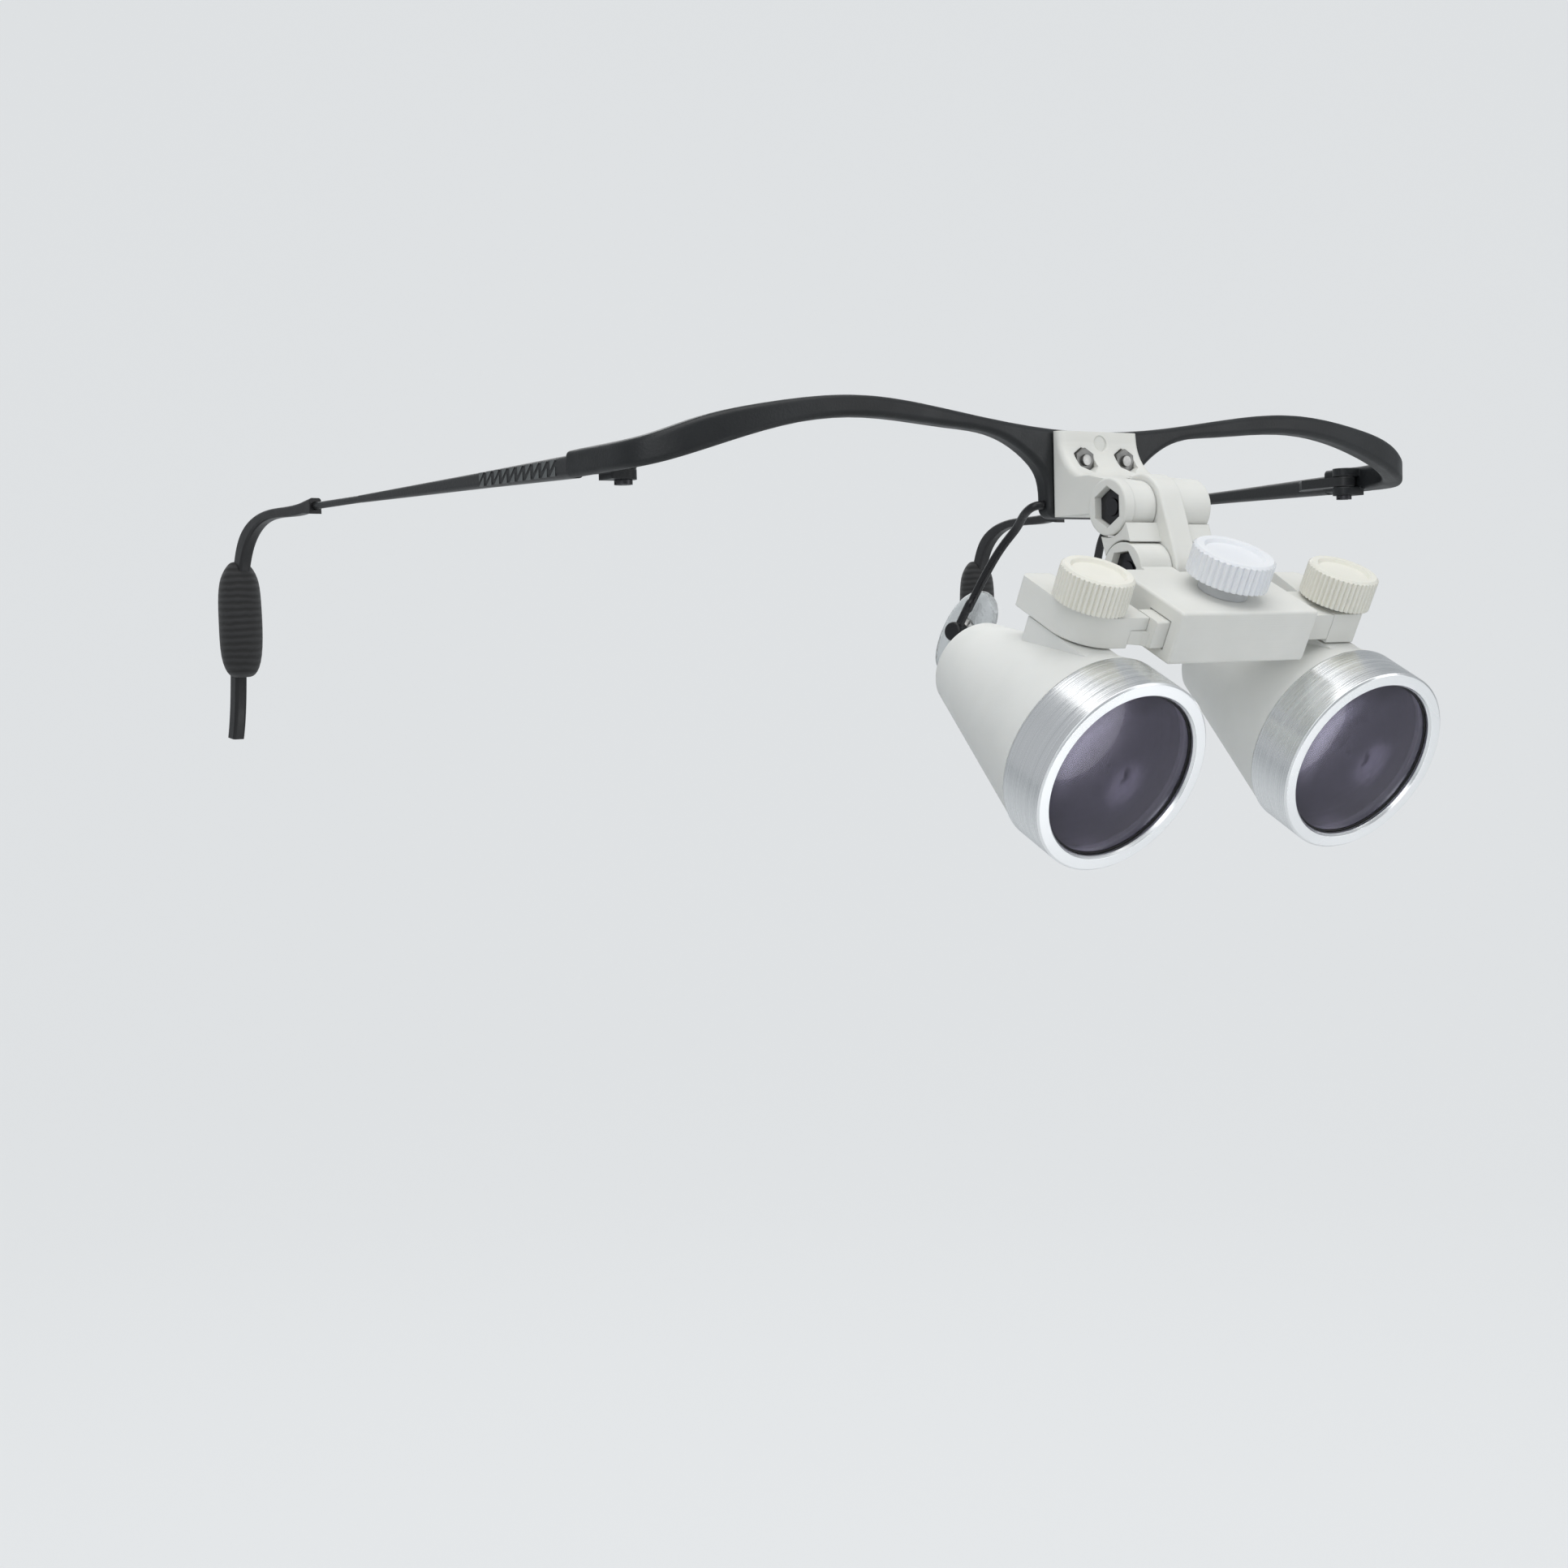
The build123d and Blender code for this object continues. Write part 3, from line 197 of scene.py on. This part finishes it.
BAR_BLACK = satin_black("bar_satin_black", (0.012, 0.0135, 0.015), 0.42, 2600.0, 0.00003, 0.0004)
TIP_BLACK = satin_black("tip_sleeve_black", (0.012, 0.012, 0.013), 0.34, 1500.0, 0.00002)
WIRE_BLACK = satin_black("wire_black", (0.012, 0.012, 0.014), 0.28, 1800.0, 0.00001)
RING_BLACK = satin_black("ring_matt_black", (0.01, 0.01, 0.01), 0.6, 2500.0, 0.00002)
INNER_BLACK = satin_black("barrel_inside_black", (0.006, 0.006, 0.007), 0.8, 3500.0, 0.00006)


# The temple's embossed panel, in metres: its length, its taper and where the raised part starts
PANEL_REACH = 0.0256
PANEL_TAPER = 0.72
RAISED_ABOVE = 0.00006


def temple_black(side):
    # black shaft; the raised triangles of the panel are worn to a silvery grey
    mat, tree, shader = material(f"temple_black_{side}", (0.014, 0.015, 0.016), 0.36)
    start, run, out = temple_axes(side)
    start = start * MM
    face = TEMPLE_HALF_THICKNESS * MM
    depth = tree.nodes.new("ShaderNodeMath")
    depth.operation = "SUBTRACT"
    tree.links.new(along(tree, out, 1.0), depth.inputs[0])
    depth.inputs[1].default_value = start.dot(out)
    shrink = tree.nodes.new("ShaderNodeMapRange")
    shrink.inputs["From Min"].default_value = start.dot(run)
    shrink.inputs["From Max"].default_value = start.dot(run) + PANEL_REACH
    shrink.inputs["To Min"].default_value = face + RAISED_ABOVE
    shrink.inputs["To Max"].default_value = face * PANEL_TAPER + RAISED_ABOVE
    tree.links.new(along(tree, run, 1.0), shrink.inputs["Value"])
    raised = tree.nodes.new("ShaderNodeMath")
    raised.operation = "GREATER_THAN"
    tree.links.new(depth.outputs[0], raised.inputs[0])
    tree.links.new(shrink.outputs["Result"], raised.inputs[1])
    ramp = tint(tree, shader, raised.outputs[0], (0.013, 0.014, 0.015), (0.2, 0.21, 0.21), 0.4, 0.6)
    ramp.color_ramp.interpolation = "CONSTANT"
    tree.links.new(raised.outputs[0], shader.inputs["Metallic"])
    relief(tree, shader, grain(tree, 2200.0), 0.00003, 0.0003)
    return mat


def turned_aluminium(side):
    _, back = scope_axis(side)
    mat, tree, shader = material(f"turned_aluminium_{side}", (0.86, 0.87, 0.88), 0.24, 1.0)
    lines = stretched(tree, back, 5200.0, 18.0)
    tint(tree, shader, lines, (0.8, 0.81, 0.82), (0.93, 0.94, 0.95), 0.3, 0.7)
    vary(tree, shader, "Roughness", lines, 0.16, 0.34)
    relief(tree, shader, lines, 0.00001, 0.00012)
    return mat


def metal(name, color, rough, scale=900.0):
    mat, tree, shader = material(name, color, rough, 1.0)
    dark = tuple(c * 0.8 for c in color)
    tint(tree, shader, grain(tree, scale * 0.4), dark, color)
    vary(tree, shader, "Roughness", grain(tree, scale), rough - 0.08, rough + 0.1)
    relief(tree, shader, grain(tree, scale * 3), 0.00002, 0.0001)
    return mat


DARK_STEEL = metal("blackened_steel", (0.07, 0.07, 0.075), 0.38)
BRIGHT_STEEL = metal("bright_steel", (0.4, 0.4, 0.39), 0.3)
NUT_STEEL = metal("nut_steel", (0.2, 0.2, 0.195), 0.35)


def coated_glass(side):
    # clear glass under a thin purple coating
    mat, tree, shader = material(f"objective_glass_{side}", (0.62, 0.6, 0.68), 0.03)
    shader.inputs["Transmission Weight"].default_value = 1.0
    shader.inputs["IOR"].default_value = 1.52
    shader.inputs["Specular IOR Level"].default_value = 0.3
    shader.inputs["Coat Weight"].default_value = 0.3
    shader.inputs["Coat Roughness"].default_value = 0.03
    shader.inputs["Coat Tint"].default_value = (0.86, 0.84, 0.95, 1)
    shader.inputs["Specular Tint"].default_value = (0.8, 0.72, 1.0, 1)
    vary(tree, shader, "Roughness", grain(tree, 1500.0), 0.13, 0.19)
    relief(tree, shader, grain(tree, 1800.0, 4.0), 0.000004)
    return mat


def clear_glass(name):
    mat, tree, shader = material(name, (0.9, 0.92, 0.93), 0.02)
    shader.inputs["Transmission Weight"].default_value = 1.0
    shader.inputs["IOR"].default_value = 1.5
    vary(tree, shader, "Roughness", grain(tree, 900.0), 0.01, 0.03)
    return mat


def silicone():
    mat, tree, shader = material("clear_silicone", (0.93, 0.95, 0.955), 0.16)
    shader.inputs["Transmission Weight"].default_value = 0.9
    shader.inputs["IOR"].default_value = 1.42
    shader.inputs["Subsurface Weight"].default_value = 0.05
    shader.inputs["Subsurface Radius"].default_value = (0.002, 0.002, 0.002)
    vary(tree, shader, "Roughness", grain(tree, 700.0), 0.08, 0.28)
    relief(tree, shader, grain(tree, 900.0, 4.0), 0.00012)
    return mat


def soft_grip():
    mat, tree, shader = material("soft_grip_black", (0.012, 0.012, 0.012), 0.75)
    shader.inputs["Sheen Weight"].default_value = 0.15
    shader.inputs["Sheen Roughness"].default_value = 0.5
    weave = tree.nodes.new("ShaderNodeTexWave")
    weave.wave_type = "BANDS"
    weave.bands_direction = "Z"
    weave.inputs["Scale"].default_value = 260.0
    weave.inputs["Distortion"].default_value = 2.2
    weave.inputs["Detail"].default_value = 2.0
    tree.links.new(place(tree), weave.inputs["Vector"])
    tint(tree, shader, weave.outputs["Fac"], (0.006, 0.006, 0.006), (0.02, 0.02, 0.021), 0.2, 0.8)
    relief(tree, shader, weave.outputs["Fac"], 0.00012)
    return mat


def paint(names, mat):
    for name in names:
        data = nodes[name].data
        data.materials.clear()
        data.materials.append(mat)


def both(*stems):
    return [f"{stem}_{word}" for stem in stems for _, word in SIDES]


paint(["brow_bar"], BAR_BLACK)
paint(both("temple_tip"), TIP_BLACK)
paint(both("nose_wire"), WIRE_BLACK)
paint(both("ocular_ring"), RING_BLACK)
paint(["bracket", "link", "centre_block"] + both("slide_bar", "carriage_block"), IVORY)
paint(both("telescope_body"), BARREL)
paint(both("side_knob"), CREAM)
paint(["clamp_knob"], COOL)
paint(["clamp_collar"] + both("side_washer"), COLLAR)
PIVOTS = ["upper_pivot_screw", "upper_pivot_nut", "lower_pivot_screw", "lower_pivot_nut"]
paint(["hinge_screws"] + PIVOTS, DARK_STEEL)
paint(["bracket_screws", "clamp_shoe", "clamp_screw"] + both("side_screw"), BRIGHT_STEEL)
paint(["bracket_nuts"], NUT_STEEL)
paint(both("ocular_lens"), clear_glass("eyepiece_glass"))
for side, word in SIDES:
    paint([f"temple_{word}"], temple_black(side))
    paint([f"bezel_{word}"], turned_aluminium(side))
    paint([f"objective_lens_{word}"], coated_glass(side))


def new_piece(name, mesh, mat, body):
    obj = bpy.data.objects.new(name, mesh)
    scene.collection.objects.link(obj)
    mesh.materials.append(mat)
    for face in mesh.polygons:
        face.use_smooth = True
    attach(obj, body)
    return obj


def skin(rings, closed_ends=True):
    # a mesh from rings of points, all with the same count
    mesh = bpy.data.meshes.new("skin")
    bm = bmesh.new()
    rows = [[bm.verts.new(p) for p in ring] for ring in rings]
    count = len(rows[0])
    for a, b in zip(rows, rows[1:]):
        for i in range(count):
            j = (i + 1) % count
            bm.faces.new((a[i], a[j], b[j], b[i]))
    if closed_ends:
        for row in (rows[0], rows[-1]):
            middle = bm.verts.new(sum((v.co for v in row), Vector()) / count)
            for i in range(count):
                bm.faces.new((row[i], row[(i + 1) % count], middle))
    bmesh.ops.recalc_face_normals(bm, faces=bm.faces)
    bm.to_mesh(mesh)
    bm.free()
    return mesh


# Soft nose pads: a teardrop outline with a crowned face, and a metal core on the post
SILICONE = silicone()
PAD_HALF_LENGTH = 7.25
PAD_HALF_WIDTH = 3.8
PAD_THICKNESS = 2.4
PAD_NARROWING = 0.16
PAD_EDGE_INSET = 0.62
PAD_BOW = 0.35
PAD_LAYERS = 12
PAD_SEAT = 1.6
CORE_START = 0.3
CORE_STRETCH = 1.3
CORE_PROFILE = ((1.3, 0.5), (1.2, 0.78), (0.0, 0.8), (-0.2, 1.7), (-0.5, 1.9), (-0.75, 1.5))


def pad_axes(side):
    long_axis = Vector((side * 0.25, 0.57, -0.78)).normalized()
    out = Vector((side * 0.93, -0.36, 0.035))
    out = (out - long_axis * out.dot(long_axis)).normalized()
    base = Vector((side * 13.0, -0.4, 0.8)) - out * PAD_SEAT
    return base, long_axis, long_axis.cross(out), out


def pad_rings(side):
    base, long_axis, wide, out = pad_axes(side)
    rings = []
    for k in range(PAD_LAYERS + 1):
        t = k / PAD_LAYERS
        swell = (max(0.0, 1 - abs(2 * t - 1) ** 3.2)) ** 0.5
        inset = PAD_EDGE_INSET + (1 - PAD_EDGE_INSET) * swell
        ring = []
        for ca, sa in circle(56):
            u = PAD_HALF_LENGTH * ca * inset
            v = PAD_HALF_WIDTH * sa * (1 - PAD_NARROWING * ca) * inset
            bow = PAD_BOW * (u / PAD_HALF_LENGTH) ** 2
            ring.append((base + long_axis * u + wide * v - out * (PAD_THICKNESS * t - bow * (1 - t))) * MM)
        rings.append(ring)
    return rings


def core_rings(side):
    # a round post, then a plate inside the pad that is drawn out along it
    base, long_axis, wide, out = pad_axes(side)
    rings = []
    for depth, radius in CORE_PROFILE:
        stretch = CORE_STRETCH if depth < 0 else 1.0
        middle = base + out * (depth + CORE_START)
        spokes = [long_axis * stretch * ca + wide * sa for ca, sa in circle(24)]
        rings.append([(middle + spoke * radius) * MM for spoke in spokes])
    return rings


for side, word in SIDES:
    body = f"{word}_nose_pad"
    pad = new_piece(f"soft_nose_pad_{word}", skin(pad_rings(side)), SILICONE, body)
    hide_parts(f"nose_pad_{word}")
    new_piece(f"nose_pad_core_{word}", skin(core_rings(side)), BRIGHT_STEEL, body)

# Soft grips on the temple tips: height shares from the lower end, with the radius at each
GRIP = soft_grip()
GRIP_ALONG = 115.6
GRIP_LENGTH = 21.0
GRIP_TOP = -8.0
GRIP_MOST = 4.28
GRIP_PROFILE = (
    (0.0, 1.7), (0.02, 2.5), (0.07, 3.3), (0.18, 3.95), (0.34, 4.2), (0.5, 4.25), (0.66, 4.15),
    (0.78, 3.95), (0.86, 3.6), (0.93, 2.9), (0.975, 2.1), (1.0, 1.5),
)


def grip_rings(side):
    start, run, out = temple_axes(side)
    rings = []
    for share, radius in GRIP_PROFILE:
        level = start + run * GRIP_ALONG + Vector((0, 0, GRIP_TOP - GRIP_LENGTH * (1 - share)))
        ring = []
        for ca, sa in circle(40):
            lump = 1 + 0.05 * noise.noise(Vector((ca * 1.3 + side, sa * 1.3, share * 3.0)))
            reach = min(radius * lump * (1 - 0.1 * sa ** 2), GRIP_MOST)
            ring.append((level + run * reach * ca + out * reach * sa) * MM)
        rings.append(ring)
    return rings


for side, word in SIDES:
    name = f"soft_ear_grip_{word}"
    grip = new_piece(name, skin(grip_rings(side)), GRIP, f"{word}_temple_arm")
    smooth = grip.modifiers.new("smooth", "SUBSURF")
    smooth.levels = 1
    smooth.render_levels = 1
    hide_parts(f"ear_grip_{word}")

# Inside each telescope: a ribbed black lining, and a thin black ring in front of the glass.
# The profiles are places back from the telescope's front, each with a radius.
LINING_START = 8.2
LINING_RADIUS = 11.9
LINING_TAPER = 0.24
RIB_COUNT = 23
RIB_SHAPE = ((0.0, 0.0), (0.55, 0.13), (0.6, 0.36), (0.9, 0.36))
GASKET_PROFILE = (
    (1.13, 12.12), (1.0, 12.12), (0.96, 12.04), (0.98, 11.92), (1.06, 11.86), (1.1, 11.9), (1.13, 12.12),
)


def lining_profile():
    profile = [(5.3, LINING_RADIUS), (8.1, LINING_RADIUS)]
    for k in range(RIB_COUNT):
        b = LINING_START + k
        radius = LINING_RADIUS - (b - 8.0) * LINING_TAPER
        profile += [(b + step, radius - drop) for step, drop in RIB_SHAPE]
    return profile + [(31.2, 4.6), (31.8, 4.55)]


def turned(side, word, name, profile, mat):
    front, back = scope_axis(side)
    across = back.cross(UP).normalized()
    rise = across.cross(back).normalized()
    rings = [
        [(front + back * b + (across * ca + rise * sa) * radius) * MM for ca, sa in circle(96)]
        for b, radius in profile
    ]
    new_piece(f"{name}_{word}", skin(rings, False), mat, f"{word}_telescope")


for side, word in SIDES:
    turned(side, word, "barrel_lining", lining_profile(), INNER_BLACK)
    turned(side, word, "lens_gasket", GASKET_PROFILE, RING_BLACK)

# Camera, solved from the picture: its turns, its place and its focal length in picture widths
CAMERA_PLACE = Vector((-222.28, -276.56, -1.30))
FOCAL_SHARE = 2750 / 1932
SENSOR = 36.0
yaw, pitch, roll = radians(32.65), radians(-3.44), radians(-1.49)
ahead = Vector((sin(yaw) * cos(pitch), cos(yaw) * cos(pitch), sin(pitch)))
level = Vector((cos(yaw), -sin(yaw), 0))
lift = level.cross(ahead)
right = level * cos(roll) + lift * sin(roll)
top = lift * cos(roll) - level * sin(roll)
camera_data = bpy.data.cameras.new("camera")
camera = bpy.data.objects.new("camera", camera_data)
scene.collection.objects.link(camera)
camera_data.sensor_width = SENSOR
camera_data.lens = FOCAL_SHARE * SENSOR
camera_data.clip_start = 0.01
camera_data.clip_end = 20.0
spin = Matrix((right, top, -ahead)).transposed().to_4x4()
camera.matrix_world = Matrix.Translation(CAMERA_PLACE * MM) @ spin
scene.camera = camera

# Floor that curves up into a backdrop, in metres
FLOOR_DROP = 0.4
FLOOR_HALF_WIDTH = 3.5
CURVE_START = 1.2
CURVE_RADIUS = 0.9
CURVE_STEPS = 16
bm = bmesh.new()
lines = []
steps = [(-2.5, 0.0)]
for k in range(CURVE_STEPS + 1):
    a = k * pi / 2 / CURVE_STEPS
    steps.append((CURVE_START + CURVE_RADIUS * sin(a), CURVE_RADIUS * (1 - cos(a))))
steps.append((CURVE_START + CURVE_RADIUS, 3.5))
turn_to_camera = Matrix.Rotation(-yaw, 3, "Z")
for y, z in steps:
    ends = (-FLOOR_HALF_WIDTH, FLOOR_HALF_WIDTH)
    lines.append([bm.verts.new(turn_to_camera @ Vector((x, y, z - FLOOR_DROP))) for x in ends])
for a, b in zip(lines, lines[1:]):
    bm.faces.new((a[0], a[1], b[1], b[0]))
floor_mesh = bpy.data.meshes.new("floor")
bm.to_mesh(floor_mesh)
bm.free()
for face in floor_mesh.polygons:
    face.use_smooth = True
floor = bpy.data.objects.new("floor", floor_mesh)
scene.collection.objects.link(floor)
floor_mat, floor_tree, floor_shader = material("pale_floor", (0.8, 0.815, 0.82), 0.95)
tint(floor_tree, floor_shader, grain(floor_tree, 1.3, 1.0), (0.79, 0.805, 0.81), (0.81, 0.822, 0.826))

# The camera sees mostly an even pale tone there, with a share of the true light and shadow
glow = floor_tree.nodes.new("ShaderNodeEmission")
glow.inputs["Color"].default_value = (0.835, 0.855, 0.87, 1)
seen = floor_tree.nodes.new("ShaderNodeLightPath")
share = floor_tree.nodes.new("ShaderNodeMath")
share.operation = "MULTIPLY"
share.inputs[1].default_value = 0.75
blend = floor_tree.nodes.new("ShaderNodeMixShader")
floor_tree.links.new(seen.outputs["Is Camera Ray"], share.inputs[0])
floor_tree.links.new(share.outputs[0], blend.inputs["Fac"])
floor_tree.links.new(floor_shader.outputs["BSDF"], blend.inputs[1])
floor_tree.links.new(glow.outputs["Emission"], blend.inputs[2])
floor_tree.links.new(blend.outputs["Shader"], floor_tree.nodes["Material Output"].inputs["Surface"])
floor_mesh.materials.append(floor_mat)


# Light
def lamp(name, where, aim, size, power, color=(1, 1, 1)):
    data = bpy.data.lights.new(name, "AREA")
    data.shape = "RECTANGLE"
    data.size, data.size_y = size
    data.energy = power
    data.color = color
    obj = bpy.data.objects.new(name, data)
    scene.collection.objects.link(obj)
    obj.location = where
    obj.visible_camera = False
    obj.rotation_mode = "QUATERNION"
    obj.rotation_quaternion = (Vector(aim) - Vector(where)).to_track_quat("-Z", "Y")
    return obj


aim = Vector((0, -0.02, 0.0))
lamp("overhead", (-0.1, -0.3, 0.95), aim, (1.1, 0.9), 5.6, (1, 0.995, 0.98))
lamp("front_left", (-0.95, -0.75, 0.45), aim, (0.7, 0.9), 3.2, (0.97, 0.985, 1))
lamp("front_right", (0.75, -0.95, 0.25), aim, (0.5, 0.8), 1.8, (1, 1, 1))
lamp("behind", (0.4, 0.9, 0.6), aim, (0.9, 0.6), 2.2, (1, 1, 1))
# A small soft lamp that only the glass and the metal show
low = lamp("low_front", (0.2, -0.32, -0.27), (0, -0.05, -0.02), (0.15, 0.15), 0.16, (0.97, 0.98, 1))
low.data.shape = "DISK"
low.visible_diffuse = False

world = bpy.data.worlds.new("studio")
scene.world = world
world.use_nodes = True
tree = world.node_tree
background = tree.nodes["Background"]
background.inputs["Color"].default_value = (0.93, 0.965, 1.0, 1)
background.inputs["Strength"].default_value = 0.5

scene.view_settings.view_transform = "Standard"
scene.view_settings.look = "None"
scene.view_settings.exposure = 0.0
scene.view_settings.gamma = 1.0
